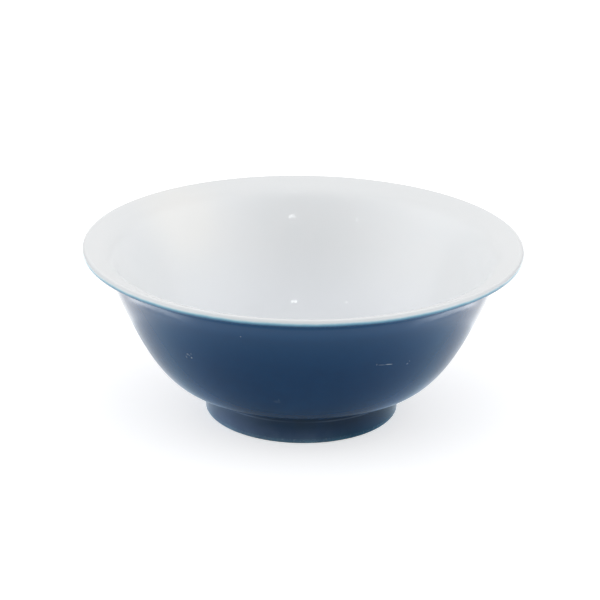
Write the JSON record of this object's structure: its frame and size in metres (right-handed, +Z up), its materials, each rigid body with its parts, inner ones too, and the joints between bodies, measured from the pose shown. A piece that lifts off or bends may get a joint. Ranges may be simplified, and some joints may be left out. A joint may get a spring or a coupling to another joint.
{
  "type": "latte bowl",
  "caption": "Round glazed porcelain bowl for milky coffee, with an everted lip and a foot ring, white inside and deep blue outside.",
  "frame": {"origin": "centre of the foot ring, on the plane of the table", "axes": "+Z up along the bowl's axis; the bowl is round, so X and Y are any two level directions"},
  "size_m": [0.15, 0.15, 0.0607],
  "materials": {
    "porcelain": "bare fired porcelain, matt",
    "white_glaze": "glossy cool white glaze",
    "thin_rim_glaze": "glossy blue glaze run thin over white",
    "blue_glaze": "glossy deep blue glaze",
    "foot_blue_glaze": "glossy dark blue glaze",
    "thin_foot_glaze": "glossy blue glaze run thin"
  },
  "bodies": {
    "root": {"bowl_wall": "porcelain", "foot_ring": "porcelain", "inner_glaze": "white_glaze", "rim_glaze_line": "thin_rim_glaze", "outer_glaze": "blue_glaze", "foot_glaze": "foot_blue_glaze", "foot_glaze_line": "thin_foot_glaze", "well_glaze": "white_glaze"}
  },
  "joints": []
}
